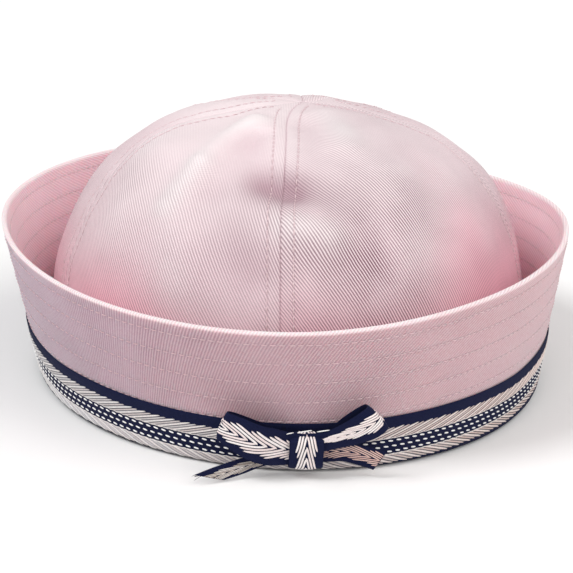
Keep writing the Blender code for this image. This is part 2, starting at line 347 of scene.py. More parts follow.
def oval(azimuth, outside):
    half_width = OPENING_WIDTH / 2 + outside
    half_length = OPENING_LENGTH / 2 + outside
    return 1 / np.hypot(np.sin(azimuth) / half_width, np.cos(azimuth) / half_length)


def around(azimuth, radius, height):
    azimuth, radius, height = np.broadcast_arrays(azimuth, radius, height)
    return np.stack([radius * np.sin(azimuth), -radius * np.cos(azimuth), height], -1)


def unit(vectors):
    return vectors / np.maximum(np.linalg.norm(vectors, axis=-1, keepdims=True), 1e-12)


def smooth_step(low, high, value):
    share = np.clip((value - low) / (high - low), 0, 1)
    return share * share * (3 - 2 * share)


def bell(value, spread):
    return np.exp(-((value / spread) ** 2))


def ripple(x, y, size, seed):
    """A soft random relief between about -1 and 1, with bumps of the given size."""
    draw = np.random.default_rng(seed)
    total = 0
    for _ in range(7):
        turn, phase, pace = draw.uniform(0, 2 * math.pi, 3)
        wave = (0.7 + 0.12 * pace) * 2 * math.pi / size / 2
        total = total + np.sin((x * math.cos(turn) + y * math.sin(turn)) * wave + phase)
    return total / 4


def rim_climb(azimuth):
    return BRIM_HEIGHT * round_rim(azimuth, HEIGHT) - FOLD_RADIUS


def brim_point(azimuth, climb, outside):
    """A point off the cuff's outer side. The climb starts where the fold's arc ends."""
    outer = oval(azimuth, FOLD_WIDTH)
    turn = np.minimum(climb, 0) / FOLD_RADIUS
    arm = FOLD_RADIUS + outside
    lean = BRIM_FLARE * round_rim(azimuth, FLARE) * np.maximum(climb, 0) / rim_climb(azimuth)
    radius = outer - FOLD_RADIUS + arm * np.cos(turn) + lean
    return around(azimuth, radius, FOLD_RADIUS + arm * np.sin(turn) + np.maximum(climb, 0))


def crown_point(azimuth, rise, swell):
    base = oval(azimuth, CROWN_WALL)
    foot = np.arctan2(LEG_HEIGHT + CLEARANCE, base)
    top = math.atan2(CROWN_HEIGHT, APEX_GAP)
    climb = foot + (top - foot) * rise
    across = np.cos(climb) / base
    up = np.sin(climb) / CROWN_HEIGHT
    reach = (across**CROWN_FULLNESS + up**CROWN_FULLNESS) ** (-1 / CROWN_FULLNESS)
    flat = reach * np.cos(climb)
    drift = (1 - flat / base) ** APEX_EASE
    spot = around(azimuth, flat, 0.0) + drift[..., None] * (APEX_RIGHT, APEX_BACK, 0)
    bearing = np.arctan2(spot[..., 0], -spot[..., 1])
    share = np.linalg.norm(spot, axis=-1) / oval(bearing, CROWN_WALL)
    spot[..., 2] = CROWN_HEIGHT * (1 - share**CROWN_FULLNESS) ** (1 / CROWN_FULLNESS)
    settled = np.sin(math.pi / 2 * np.minimum(rise / FOOT_FADE, 1))
    puff = SEAM_DEPTH * swell * np.minimum((1 - rise) / TOP_FADE, 1)
    dents = 0
    for dent_azimuth, dent_rise, depth, spread_azimuth, spread_rise in DENTS:
        gap = (azimuth - math.radians(dent_azimuth) + math.pi) % (2 * math.pi) - math.pi
        gap = gap / math.radians(spread_azimuth)
        dents = dents + CROWN_HEIGHT * depth * bell(gap, 1) * bell(rise - dent_rise, spread_rise)
    return spot + unit(spot) * (settled * (puff + dents))[..., None]


def travelled(lines):
    """Distances down the first axis of some points, from 0 at its start."""
    steps = np.linalg.norm(np.diff(lines, axis=0), axis=-1)
    return np.concatenate([0 * steps[:1], np.cumsum(steps, axis=0)])


def read_line(line, travel, places):
    """What a line of points holds at some distances along it."""
    return np.stack([np.interp(places, travel, line[:, k]) for k in range(3)], -1)


def stitch_wave(travel, middle, swing):
    """A wave with one crest to a stitch, or one trough where the swing is negative."""
    return middle + swing * np.cos(2 * math.pi * travel / STITCH_PITCH)


def grid_normals(grid, wrap_columns=False):
    """Unit normals of a grid of points whose rows run upwards and columns run along."""
    wide = np.concatenate([grid[:, -1:], grid, grid[:, :1]], 1) if wrap_columns else grid
    along = np.gradient(wide, axis=1)
    along = along[:, 1:-1] if wrap_columns else along
    return unit(np.cross(along, np.gradient(grid, axis=0)))


def marks(shape, pale=0.0, shade=0.0, blush=0.0, calm=0.0):
    """Per-point tones of a cloth: towards pale, shaded or deep tones, and how faint its twill is. Besides
    the cloth's own uneven tones they carry painted highlights, painted shade and painted light.
    """
    return np.stack([np.clip(value + np.zeros(shape), 0, 1) for value in (pale, shade, blush, calm)], -1)


def new_piece(name, shape, material, weave=None, tones_and_painted_light=None):
    """A smooth closed mesh that rides with the cap, with its cloth coordinates in millimetres.

    Tones given as a single number say how far all of it goes towards pale. Per-point tones carry painted
    highlights, painted shade and painted light besides the cloth's own tones.
    """
    points, faces = shape
    mesh = bpy.data.meshes.new(name)
    mesh.from_pydata(np.asarray(points).reshape(-1, 3).tolist(), [], faces)
    facing = bmesh.new()
    facing.from_mesh(mesh)
    bmesh.ops.recalc_face_normals(facing, faces=facing.faces)
    facing.to_mesh(mesh)
    facing.free()
    mesh.shade_smooth()
    if weave is not None:
        layer = mesh.attributes.new("weave", "FLOAT_VECTOR", "POINT")
        layer.data.foreach_set("vector", np.asarray(weave, np.float32).ravel())
    if np.isscalar(tones_and_painted_light):
        tones_and_painted_light = marks(len(points), tones_and_painted_light)
    if tones_and_painted_light is not None:
        layer = mesh.attributes.new("tones_and_painted_light", "FLOAT_COLOR", "POINT")
        layer.data.foreach_set("color", np.asarray(tones_and_painted_light, np.float32).ravel())
    mesh.materials.append(material)
    piece = bpy.data.objects.new(name, mesh)
    bpy.context.scene.collection.objects.link(piece)
    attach(piece, BODY)
    return piece


def quads(rows, columns, wrap_rows=False, wrap_columns=False, start=0):
    """The faces of a grid of vertices, numbered along its rows."""
    row = np.arange(rows if wrap_rows else rows - 1)[:, None]
    column = np.arange(columns if wrap_columns else columns - 1)[None, :]
    next_row, next_column = (row + 1) % rows, (column + 1) % columns
    corners = [
        row * columns + column,
        row * columns + next_column,
        next_row * columns + next_column,
        next_row * columns + column,
    ]
    return (np.stack(corners, -1).reshape(-1, 4) + start).tolist()


def shell(outer, inner):
    """Points and faces of a sheet with two sides and closed edges."""
    rows, columns = outer.shape[:2]
    points = np.concatenate([outer, inner[:, ::-1]], 1)
    faces = quads(rows, 2 * columns, wrap_columns=True)
    for row in (0, rows - 1):
        start = row * 2 * columns
        for k in range(columns - 1):
            low, back = start + k, start + 2 * columns - 1 - k
            faces.append([low, low + 1, back - 1, back])
    return points, faces


def sweep(centres, normals, half_width, half_height, taper, sides=6, slant=0.0):
    """Closed yarns of flattened round section along lines of points: yarn, point, coordinate.

    A slant other than 0 slides the yarn's left side back and its right side on, or the reverse.
    """
    count, steps = centres.shape[:2]
    ahead = unit(np.gradient(centres, axis=1))
    side = unit(np.cross(normals, ahead))
    side = side - slant * ahead
    turns = 2 * math.pi * np.arange(sides) / sides
    taper = np.asarray(taper)[None, :, None, None]
    half_width = np.broadcast_to(half_width, (count, steps))[:, :, None, None]
    wide = side[:, :, None] * half_width * np.cos(turns)[:, None]
    high = normals[:, :, None] * (half_height * np.sin(turns))[:, None]
    points = centres[:, :, None] + taper * (wide + high)
    faces = []
    for yarn in range(count):
        start = yarn * steps * sides
        faces += quads(steps, sides, wrap_columns=True, start=start)
        faces.append(list(range(start, start + sides)))
        faces.append(list(range(start + (steps - 1) * sides, start + steps * sides)))
    return points.reshape(-1, 3), faces


def loop_sweep(centres, normals, radius, sides=6):
    """One closed round yarn along a closed line of points."""
    side = unit(np.cross(normals, np.roll(centres, -1, 0) - np.roll(centres, 1, 0)))
    turns = (2 * math.pi * np.arange(sides) / sides)[None, :, None]
    points = centres[:, None] + radius * (side[:, None] * np.cos(turns) + normals[:, None] * np.sin(turns))
    return points.reshape(-1, 3), quads(len(centres), sides, wrap_rows=True, wrap_columns=True)


def stitch_line(line, normals, off):
    """Stitches that follow a line on the cloth, each arched out of it."""
    line = line + normals * off
    travel = travelled(line)
    starts = np.arange(0, travel[-1] - STITCH_LENGTH, STITCH_PITCH)
    share = np.linspace(0, 1, len(STITCH_TAPER))
    places = starts[:, None] + share * STITCH_LENGTH
    out = unit(read_line(normals, travel, places))
    arch = STITCH_ARCH * (1 - 1.7 * (2 * share - 1) ** 2)
    centres = read_line(line, travel, places) + out * arch[:, None]
    return sweep(centres, out, THREAD, THREAD, STITCH_TAPER)


def join(parts):
    """One set of points and faces out of several."""
    points, faces, start = [], [], 0
    for part_points, part_faces in parts:
        points.append(part_points)
        faces += [[corner + start for corner in face] for face in part_faces]
        start += len(part_points)
    return np.concatenate(points), faces


class Cloth:
    """A fabric's material, with short forms for the nodes of its colour and its relief."""

    def __init__(self, name, roughness, sheen, sheen_tint, specular=0.2):
        self.material = bpy.data.materials.new(name)
        self.material.use_nodes = True
        self.tree = self.material.node_tree
        self.surface({
            "Roughness": roughness,
            "Sheen Weight": sheen,
            "Sheen Roughness": 0.4,
            "Sheen Tint": sheen_tint,
            "Specular IOR Level": specular,
        })

    def put(self, sockets, values):
        """Sets sockets to constants, or links other nodes' sockets to them."""
        for key, value in values.items():
            if isinstance(value, bpy.types.NodeSocket):
                self.tree.links.new(value, sockets[key])
            else:
                sockets[key].default_value = value

    def surface(self, values):
        self.put(self.tree.nodes["Principled BSDF"].inputs, values)

    def node(self, kind, values, **settings):
        node = self.tree.nodes.new("ShaderNode" + kind)
        for key, value in settings.items():
            setattr(node, key, value)
        self.put(node.inputs, values)
        return node.outputs

    def mix(self, factor, first, second, blend="MIX"):
        sockets = {0: factor, 6: first, 7: second}
        return self.node("Mix", sockets, data_type="RGBA", blend_type=blend)[2]

    def math(self, operation, first, second=0.0, third=0.0, clamp=False):
        sockets = dict(enumerate((first, second, third)))
        return self.node("Math", sockets, operation=operation, use_clamp=clamp)[0]

    def scaled(self, value, factor, offset, clamp=False):
        return self.math("MULTIPLY_ADD", value, factor, offset, clamp)

    def product(self, first, second):
        return self.math("MULTIPLY", first, second)

    def noise(self, vector, scale, detail=2.0):
        return self.node("TexNoise", {"Vector": vector, "Scale": scale, "Detail": detail})["Fac"]

    def ribs(self, vector, pitch, direction="X", distortion=0.0):
        """Parallel waves with the given pitch, in the units of the vector."""
        values = {"Vector": vector, "Distortion": distortion, "Detail": 1.0}
        values["Scale"] = math.pi / 10 / pitch
        return self.node("TexWave", values, bands_direction=direction)["Fac"]

    def bump(self, height, distance, strength=1.0):
        values = {"Height": height, "Distance": distance, "Strength": strength}
        return self.node("Bump", values)["Normal"]

    def attribute(self, name):
        return self.node("Attribute", {}, attribute_name=name)

    def weave(self):
        return self.attribute("weave")["Vector"]

    def tones_and_painted_light(self):
        """The pale, shade, blush and calm values of the cloth's points: its own uneven tones together with
        painted highlights, painted shade and painted light.
        """
        tones_and_painted_light = self.attribute("tones_and_painted_light")
        return [*self.node("SeparateColor", {0: tones_and_painted_light["Color"]}), tones_and_painted_light["Alpha"]]

    def place(self):
        return self.node("TexCoord", {})["Object"]


def twill(name, pitch, groove, ridge, pale, shade, deep, glow=0.0):
    """Cotton twill: slanted ridges along the cloth's own coordinates, in uneven tones of pink.

    The groove is the colour that darkens the lines between the ridges.
    The glow is the share of the light that goes into the cloth and comes out beside, or behind.
    """
    cloth = Cloth(name, 0.75, 0.35, (1.0, 0.93, 0.95, 1.0))
    weave, place = cloth.weave(), cloth.place()
    to_pale, to_shade, to_deep, calm = cloth.tones_and_painted_light()
    wave = cloth.ribs(weave, pitch, distortion=0.7)
    beads = cloth.ribs(weave, pitch * 0.62, "Y", 1.4)
    slub = cloth.noise(weave, 0.85, 3.0)
    fuzz = cloth.noise(weave, 3.2)
    patch = cloth.scaled(cloth.noise(place, 48.0), 2.2, -0.45, clamp=True)
    plain = cloth.math("SUBTRACT", 1.0, calm, clamp=True)
    clear = cloth.product(cloth.scaled(patch, 0.45, 0.55), plain)
    cloud = cloth.scaled(cloth.noise(place, 17.0), 1.6, -0.55, clamp=True)
    colour = cloth.mix(cloth.product(cloud, 0.25), ridge, shade)
    colour = cloth.mix(cloth.scaled(slub, 0.9, -0.30, clamp=True), colour, pale)
    colour = cloth.mix(cloth.scaled(fuzz, 0.5, -0.2, clamp=True), colour, shade)
    # painted light and shade: each point's tones mix the colour towards deep pink, pale and shade
    colour = cloth.mix(to_deep, colour, deep)
    colour = cloth.mix(to_pale, colour, pale)
    colour = cloth.mix(to_shade, colour, shade)
    line = cloth.product(cloth.scaled(wave, -1.5, 1.25, clamp=True), clear)
    colour = cloth.mix(cloth.scaled(beads, 0.10, line), colour, groove, "MULTIPLY")
    height = cloth.scaled(beads, 0.30, cloth.product(wave, clear))
    height = cloth.scaled(slub, 0.6, height)
    height = cloth.scaled(fuzz, 0.35, height)
    cloth.surface({
        "Base Color": colour,
        "Normal": cloth.bump(height, 0.00019),
        "Subsurface Weight": glow,
        "Subsurface Radius": (1.0, 0.45, 0.55),
        "Subsurface Scale": 0.005,
    })
    return cloth.material


def scaled_colour(colour, factor):
    return tuple(factor * value for value in colour[:3]) + (1.0,)


def ribbon_ground(name, dark, light, inner=0.0, outer=0.0):
    """The navy ground of a ribbon, with fine ribs across it and a light zone between two lines."""
    cloth = Cloth(name, 0.8, 0.04, (0.5, 0.55, 0.9, 1.0), 0.12)
    weave = cloth.weave()
    rib = cloth.ribs(weave, 0.42, distortion=0.6)
    fleck = cloth.scaled(cloth.noise(weave, 1.6, 3.0), 1.1, -0.2, clamp=True)
    tint = cloth.product(rib, fleck)
    colour = cloth.mix(tint, dark, scaled_colour(dark, 3.2))
    if outer > inner:
        across = cloth.node("SeparateXYZ", {0: weave})[1]
        reach = cloth.scaled(rib, 0.12, cloth.math("ABSOLUTE", across))
        beyond = cloth.math("GREATER_THAN", reach, inner)
        zone = cloth.product(beyond, cloth.math("LESS_THAN", reach, outer))
        colour = cloth.mix(zone, colour, cloth.mix(tint, scaled_colour(light, 0.55), light))
    cloth.surface({"Base Color": colour, "Normal": cloth.bump(rib, 0.00012, 0.8)})
    return cloth.material


def yarn_material(name, first, second, dull=0.5):
    """Twisted thread whose colour runs between two tones from yarn to yarn."""
    cloth = Cloth(name, 0.7, 0.2, (1.0, 0.97, 0.95, 1.0))
    fleck = cloth.noise(cloth.place(), 1900.0)
    colour = cloth.mix(cloth.tones_and_painted_light()[0], first, second)
    tint = cloth.scaled(fleck, 0.9, -0.3, clamp=True)
    darker = cloth.mix(1.0, colour, (dull, dull * 0.92, dull * 0.88, 1.0), "MULTIPLY")
    cloth.surface({
        "Base Color": cloth.mix(tint, colour, darker),
        "Normal": cloth.bump(fleck, 0.00007, 0.8),
    })
    return cloth.material


def leaned(across, up, lean):
    """Cloth coordinates in millimetres, turned so that the first one crosses the twill's ridges."""
    first = across * math.cos(lean) + up * math.sin(lean)
    second = up * math.cos(lean) - across * math.sin(lean)
    return np.stack([first, second, np.zeros_like(first)], -1) / MM


def gore_columns(width):
    """Places across a gore of the given width, dense near its two seams."""
    reach = SEAM_COLUMNS[-1]
    near = SEAM_COLUMNS * min(1, 0.62 * width / 2 / reach)
    middle = np.linspace(near[-1], width - near[-1], MIDDLE_COLUMNS + 2)[1:-1]
    return np.concatenate([near, middle, (width - near)[::-1]])


def allowance_room(widths):
    """1 where a gore is wide enough for its two seam allowances, and 0 near the crown's top."""
    return smooth_step(0.9 * SEAM_ALLOWANCE, 1.6 * SEAM_ALLOWANCE, widths / 2)


def seam_relief(distance, travel, width, seed):
    """Height of the cloth near a seam: a valley, the raised seam allowance and the stitched groove."""
    room = allowance_room(width)
    valley = -SEAM_VALLEY * bell(distance, 0.00035)
    raised = SEAM_RISE * (1 - smooth_step(0.0040, 0.0056, distance))
    groove = -SEAM_GROOVE * stitch_wave(travel, 0.65, 0.35) * bell(distance - SEAM_ALLOWANCE, 0.00040)
    gather = ripple(travel, distance * 0.4, GATHER_SIZE, seed) * bell(distance - 0.0052, 0.0040)
    return (raised + groove) * room + valley + GATHER_HEIGHT * gather * room


def fold_relief(points):
    """Height of the soft folds that hang in the crown."""
    bearings = FOLD_REACH * unit(points)
    total = 0
    for start, start_rise, end, end_rise, height, width in FOLDS:
        ends = crown_point(np.radians([start, end]), np.array([start_rise, end_rise]), np.ones(2))
        first, last = FOLD_REACH * unit(ends)
        run = last - first
        share = np.clip((bearings - first) @ run / (run @ run), 0, 1)
        nearest = FOLD_REACH * unit(first + share[..., None] * run)
        gap = np.linalg.norm(bearings - nearest, axis=-1)
        total = total + height * MM * bell(gap, width * MM)
    lump = np.hypot(points[..., 0] - LUMP_PLACE[0], points[..., 1] - LUMP_PLACE[1])
    return total + LUMP_HEIGHT * bell(lump, LUMP_SPREAD)


def gore_surface(gore):
    """A gore's smooth points, with the distances across and up it, and its width at each point."""
    rises = np.linspace(0, 1, GORE_ROWS) ** 0.92
    steps = rises * (SEAMS.shape[1] - 1)
    starts, ends = (np.radians(between(seam, steps)) for seam in SEAMS[gore:gore + 2])
    share = np.linspace(0, 1, 49)
    rows, places, widths = [], [], []
    for rise, start, end in zip(rises, starts, ends):
        travel = travelled(crown_point(start + (end - start) * share, rise, np.sin(math.pi * share)))
        place = gore_columns(travel[-1])
        u = np.interp(place, travel, share)
        rows.append(crown_point(start + (end - start) * u, rise, np.sin(math.pi * u)))
        places.append(place)
        widths.append(np.full_like(place, travel[-1]))
    smooth = np.array(rows)
    return smooth, np.array(places), np.array(widths), travelled(smooth)


def even_weave(smooth, normals, climbs):
    """Distances across and up a gore's cloth, laid out from its middle line without a slant."""
    half = smooth.shape[1] // 2
    up = np.gradient(smooth[:, half], axis=0)[:, None]
    up = unit(up - np.sum(up * normals, axis=-1, keepdims=True) * normals)
    right = np.cross(up, normals)
    steps = np.diff(smooth, axis=1)
    spots = []
    for direction in (right, up):
        travel = np.sum(steps * (direction[:, 1:] + direction[:, :-1]) / 2, axis=-1)
        travel = np.concatenate([np.zeros((len(smooth), 1)), np.cumsum(travel, axis=1)], 1)
        spots.append(travel - travel[:, half:half + 1])
    return spots[0], spots[1] + climbs[:, half:half + 1]


def gore_relief(gore, smooth, places, widths, climbs):
    """Height of the cloth over a gore's smooth points, but for its folds."""
    after = (gore + 1) % len(GORES)
    relief = seam_relief(places, climbs, widths, SEAM_SEED + gore)
    relief = relief + seam_relief(widths - places, climbs, widths, SEAM_SEED + after)
    top = smooth_step(0.90, 0.99, smooth[..., 2] / CROWN_HEIGHT)
    edge = np.minimum(places, widths - places)
    wrinkle = ripple(smooth[..., 0] + smooth[..., 1], smooth[..., 2], WRINKLE_SIZE, WRINKLE_SEED + gore)
    return relief - TOP_FLATTENING * top + WRINKLE_HEIGHT * wrinkle * smooth_step(0.0, 0.010, edge)


def gore_tones_and_painted_light(gore, smooth, places, widths, climbs, folds):
    """Where a gore is paler with painted highlights, darker with painted shade or deep pink with painted
    bounce light, and where its twill is faint.
    """
    x, y, z = np.moveaxis(smooth, -1, 0)
    height = z / CROWN_HEIGHT
    edge = np.minimum(places, widths - places)
    room = allowance_room(widths)
    # painted shade in the stitch holes beside the seams
    holes = stitch_wave(climbs, 0.5, -0.5) * room * bell(edge - SEAM_ALLOWANCE, 0.00035)
    # painted shade: a grey patch on the middle of the front left gore
    painted_grey_shade = bell(x + 0.022, 0.022) * bell(height - 0.62, 0.25) * (y < 0)
    uneven = 1 + 0.5 * ripple(x, y - z, 0.016, FOLD_SEED + gore)
    # painted shade in the folds' valleys and painted highlight on their crests
    painted_fold_shade = np.maximum(-folds, 0) / MM * uneven
    painted_fold_highlight = np.maximum(folds, 0) / MM * uneven
    # painted shade in the seam valleys, the stitch holes, the grey patch and the fold valleys
    shade = 0.45 * bell(edge, 0.00028) + 0.45 * holes + 0.26 * painted_grey_shade + 0.13 * painted_fold_shade
    drift = 0.16 * ripple(x, y + z, 0.040, TONE_SEED + gore)
    # lower to the right, so the painted highlight at the top is stronger on the left, where the light comes
    # from
    level = height + drift - 0.22 * np.clip(x / OPENING_WIDTH * 2, 0, 1)
    allowance = bell(edge - 0.0024, 0.0020) * room
    # pale: a painted highlight towards the top and on the fold crests, and a paler strip over the seam
    # allowances
    pale = 0.50 * smooth_step(0.62, 1.05, level) + 0.12 * allowance + 0.24 * painted_fold_highlight
    # painted bounce light: deep pink towards the crown's foot
    blush = 1 - smooth_step(0.16, 0.62, level)
    left, far_right = 1 - smooth_step(-0.02, 0.03, x), smooth_step(0.030, 0.065, x)
    calm = 0.50 * left + 0.50 * smooth_step(0.80, 1.0, height) + 0.45 * far_right
    outside = marks(edge.shape, pale, shade, blush, calm)
    inside = marks(edge.shape, blush=0.4, calm=0.3)
    return np.concatenate([outside, inside], 1)


def seam_stitches(outer, out, places, wide):
    """The stitches beside the seam at a gore's first column, in the rows where it is wide."""
    line, facing = (
        np.array([read_line(row, place, SEAM_ALLOWANCE) for place, row in zip(places, grid)])
        for grid in (outer, out)
    )
    return stitch_line(line[wide], facing[wide], 0.00012)


def build_gore(gore, label, material):
    """One gore. What it gives back is the stitches beside its two seams."""
    smooth, places, widths, climbs = gore_surface(gore)
    normals = unit(smooth)
    folds = fold_relief(smooth)
    relief = gore_relief(gore, smooth, places, widths, climbs) + folds
    outer = smooth + normals * relief[..., None]
    inner = outer - normals * CLOTH
    inner[0] = smooth[0] - normals[0] * CLOTH
    weave = leaned(*even_weave(smooth, normals, climbs), CROWN_LEANS[gore])
    weave = np.concatenate([weave, weave[:, ::-1]], 1)
    tones_and_painted_light = gore_tones_and_painted_light(gore, smooth, places, widths, climbs, folds)
    name = f"crown_gore_{label}"
    piece = new_piece(name, shell(outer, inner), material, weave, tones_and_painted_light)
    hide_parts(f"crown_panel_{label}")
    out = grid_normals(outer)
    wide = widths[:, 0] > 2.3 * SEAM_ALLOWANCE
    return [
        seam_stitches(outer, out, places, wide),
        seam_stitches(outer[:, ::-1], out[:, ::-1], (widths - places)[:, ::-1], wide),
    ]


def build_crown(material, thread_material):
    threads = []
    for gore, label in enumerate(GORES):
        threads += build_gore(gore, label, material)
    new_piece("crown_topstitching", join(threads), thread_material, tones_and_painted_light=0.5)


def stitch_depths():
    return ROW_FIRST + ROW_STEP * np.arange(ROWS_OF_STITCHES)


def near_rows(depth, spread):
    """1 on each row of stitches, falling off within the spread."""
    return sum(bell(depth - line, spread) for line in stitch_depths())


def wall_depths():
    """Distances below the rim at which each face of the cuff has a row of points."""
    groove = MM * np.array([-1.6, -0.8, -0.4, 0.0, 0.4, 0.8, 1.6])
    rows = (stitch_depths()[:, None] + groove).ravel()
    return np.unique(np.round(np.concatenate([rows, [0.0011, 0.0019]]), 6))


def brim_wall(outside, seed):
    """The stitched upper part of one face of the cuff, from the rim down."""
    travel = BRIM_AZIMUTHS * BRIM_RADIUS
    sign = 1 if outside >= 0 else -1
    rows = []
    for depth in wall_depths():
        pucker = near_rows(depth, 0.0024) * ripple(travel, depth, PUCKER_SIZE, seed)
        dip = near_rows(depth, 0.00040) * stitch_wave(travel, 0.65, 0.35)
        relief = PUCKER_HEIGHT * pucker - ROW_DIP * dip
        relief = relief + SWAY_HEIGHT * ripple(travel, depth, SWAY_SIZE, seed + 1)
        relief = relief * (1 - bell(depth, 0.0015))
        climb = rim_climb(BRIM_AZIMUTHS) - depth
        rows.append(brim_point(BRIM_AZIMUTHS, climb, outside + sign * relief))
    return np.array(rows)


def rolled_rim():
    """Rows over the rolled rim, from the cuff's outer side to its inner one."""
    rows = []
    for turn in np.linspace(0, math.pi, 11)[1:-1]:
        climb = rim_climb(BRIM_AZIMUTHS) - 0.0006 + math.sin(turn) * RIM_ROLL
        rows.append(brim_point(BRIM_AZIMUTHS, climb, math.cos(turn) * RIM_ROLL - BRIM_WALL / 2))
    return np.array(rows)


def plain_wall(depth, outside):
    """Rows of one face of the cuff below its stitches, down to where the fold starts."""
    top = rim_climb(BRIM_AZIMUTHS) - depth
    shares = np.linspace(0, 1, 13)[1:]
    return np.array([brim_point(BRIM_AZIMUTHS, top * (1 - share), outside) for share in shares])


def folded_foot():
    """Rows round the cuff's fold and up its inner leg, outside first and then back inside."""
    opening = oval(BRIM_AZIMUTHS, 0.0)
    fold_edge = oval(BRIM_AZIMUTHS, FOLD_WIDTH)
    arcs = np.linspace(0, math.pi / 2, 8)

    def fold_arc(radius, turn):
        height = FOLD_RADIUS - radius * math.sin(turn)
        return around(BRIM_AZIMUTHS, fold_edge - FOLD_RADIUS + radius * math.cos(turn), height)

    def leg_arc(radius, turn):
        height = LEG_RADIUS - radius * math.cos(turn)
        return around(BRIM_AZIMUTHS, opening + LEG_RADIUS - radius * math.sin(turn), height)

    heights = np.linspace(LEG_RADIUS, LEG_HEIGHT, 6)
    foot = [fold_arc(FOLD_RADIUS, turn) for turn in arcs[1:]]
    foot += [leg_arc(LEG_RADIUS, turn) for turn in arcs]
    foot += [around(BRIM_AZIMUTHS, opening, height) for height in heights[1:]]
    foot += [around(BRIM_AZIMUTHS, opening + BRIM_WALL, height) for height in heights[::-1]]
    foot += [leg_arc(LEG_RADIUS - BRIM_WALL, turn) for turn in arcs[::-1][1:]]
    foot += [fold_arc(FOLD_RADIUS - BRIM_WALL, turn) for turn in arcs[::-1]]
    return np.array(foot)


def brim_tones_and_painted_light(size, inner_rows, rim, face):
    """The cuff's tones: a painted highlight on the rim, painted shade in the stitch holes and over the outer
    face, and painted light that makes the inside deep pink.

    The rows given are the first ones of the inner wall's stitched part, the rim and the outer face.
    """
    depths = wall_depths()
    last = face + len(depths)
    painted_rim_highlight, hole = np.zeros((2, size[0], 1))
    # painted highlight over the rolled rim and just below it on the outer face
    painted_rim_highlight[rim:face] = 0.6
    painted_rim_highlight[face:last, 0] = 0.5 * bell(depths, 0.0011)
    # the stitch holes on both faces, which get painted shade below
    hole[face:last, 0] = near_rows(depths, 0.00035)
    hole[inner_rows:rim] = hole[face:last][::-1]
    outside = np.arange(size[0])[:, None] >= face
    # the front right is the side where the warm light falls
    front_right = np.cos(BRIM_AZIMUTHS - math.radians(60))
    gaps = stitch_wave(BRIM_AZIMUTHS * BRIM_RADIUS, 0.5, -0.5)
    # painted shade in the stitch holes, a little stronger on the front right
    shade = (0.12 + 0.06 * front_right) * hole * gaps
    # painted shade over the whole outer face, darker and cooler towards the left
    shade = shade + np.where(outside, 0.50 - 0.26 * front_right, 0.0)
    # painted light: deep pink over the inside, and a warmer outer face towards the front right
    blush = np.where(outside, 0.08 + 0.10 * front_right, 1.0)
    calm = np.where(outside, 0.30 + 0.20 * front_right, 0.6)
    return marks(size, painted_rim_highlight, shade * (1 - painted_rim_highlight), blush, calm)


def build_brim_stitching(label, grid, side, material):
    """The rows of stitches on one face of the cuff, the outer one where the side is 1."""
    out = grid_normals(grid, wrap_columns=True)
    heading = np.sum(out[..., :2] * grid[..., :2], axis=-1, keepdims=True)
    out = out * np.sign(heading) * side
    threads = []
    for line in stitch_depths():
        row = int(np.argmin(abs(wall_depths() - line)))
        looped, facing = (np.concatenate([rows[row], rows[row, :1]]) for rows in (grid, out))
        threads.append(stitch_line(looped, facing, 0.00008))
    points, faces = join(threads)
    # painted light: the outer threads are paler towards the right, where the light falls, and the inner
    # threads are pale
    pale = 0.14 + 0.30 * unit(points)[:, 0] if side > 0 else 0.6
    tones_and_painted_light = marks(len(points), pale)
    new_piece(f"brim_stitching_{label}", (points, faces), material, tones_and_painted_light=tones_and_painted_light)


def build_brim(material, thread_material):
    depth = wall_depths()[-1]
    outer, inner = brim_wall(0.0, OUTER_WALL_SEED), brim_wall(-BRIM_WALL, INNER_WALL_SEED)
    lower_in = plain_wall(depth, -BRIM_WALL)[::-1][1:]
    rolled = rolled_rim()[::-1]
    rim = len(lower_in) + len(inner)
    face = rim + len(rolled)
    section = np.concatenate([
        lower_in, inner[::-1], rolled, outer, plain_wall(depth, 0.0), folded_foot(),
    ])
    climbs = travelled(section)
    turned = ((BRIM_AZIMUTHS + math.pi) % (2 * math.pi) - math.pi) * BRIM_TURN
    away = BRIM_RADIUS / BRIM_TURN + climbs - climbs[face]
    weave = leaned(away * np.sin(turned), -away * np.cos(turned), -BRIM_LEAN)
    faces = quads(*section.shape[:2], wrap_rows=True, wrap_columns=True)
    tones_and_painted_light = brim_tones_and_painted_light(section.shape[:2], len(lower_in), rim, face)
    piece = new_piece("brim_cuff", (section, faces), material, weave, tones_and_painted_light)
    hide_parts("brim")
    build_brim_stitching("outer", outer, 1, thread_material)
    build_brim_stitching("inner", inner, -1, thread_material)


def band_middle(azimuth):
    lift = BAND_SIDE_LIFT * smooth_step(0.80, 1.0, abs(np.sin(azimuth)))
    return BAND_WIDTH * (0.5 + round_rim(azimuth, SHIFT)) - BAND_TUCK + lift


def band_surface(along, across, outside):
    """A point of the band: along it, across it from its middle, and off the cuff's face."""
    azimuth = along / BAND_RADIUS
    return brim_point(azimuth, band_middle(azimuth) + across, CLEARANCE + outside)


def band_frame(along, across, outside=RIBBON):
    """Points and outward normals on the band, measured across from the middle of its pattern."""
    step = 0.0002
    across = across - BAND_DROP
    here = band_surface(along, across, outside)
    on = band_surface(along + step, across, outside) - here
    up = band_surface(along, across + step, outside) - here
    return here, unit(np.cross(on, up))


